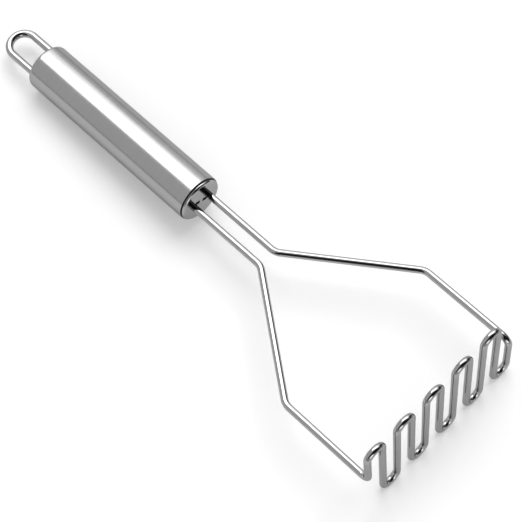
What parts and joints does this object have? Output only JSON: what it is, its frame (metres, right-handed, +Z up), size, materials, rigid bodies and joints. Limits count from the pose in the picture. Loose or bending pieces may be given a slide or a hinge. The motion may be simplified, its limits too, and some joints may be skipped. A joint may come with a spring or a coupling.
{
  "type": "potato masher",
  "caption": "Potato masher with a round steel handle, a hanging loop and a bent wire whose upright wave presses through cooked food.",
  "frame": {"origin": "on the level it lies on, under the middle of its length and width", "axes": "+X from the hanging loop towards the mashing wave, +Y across the wave, +Z up from the level it lies on, with the handle pitched up a little towards the wave"},
  "size_m": [0.3038, 0.098, 0.0614],
  "materials": {
    "satin_steel": "satin, fine grain round the handle",
    "polished_steel": "mirror polished stainless steel",
    "plain_steel": "plain rolled steel, out of sight",
    "seal_rubber": "matt",
    "core_plastic": "moulded, out of sight"
  },
  "bodies": {
    "root": {"handle_tube": "satin_steel", "rear_cap": "satin_steel", "hanging_loop": "polished_steel", "loop_backing_plate": "plain_steel", "loop_welds": "plain_steel", "mouth_seal": "seal_rubber", "front_cap": "polished_steel", "cap_seal": "seal_rubber", "wire_core": "core_plastic", "wire_end_plate": "plain_steel", "wire_end_welds": "plain_steel", "masher_wire": "polished_steel"}
  },
  "joints": []
}
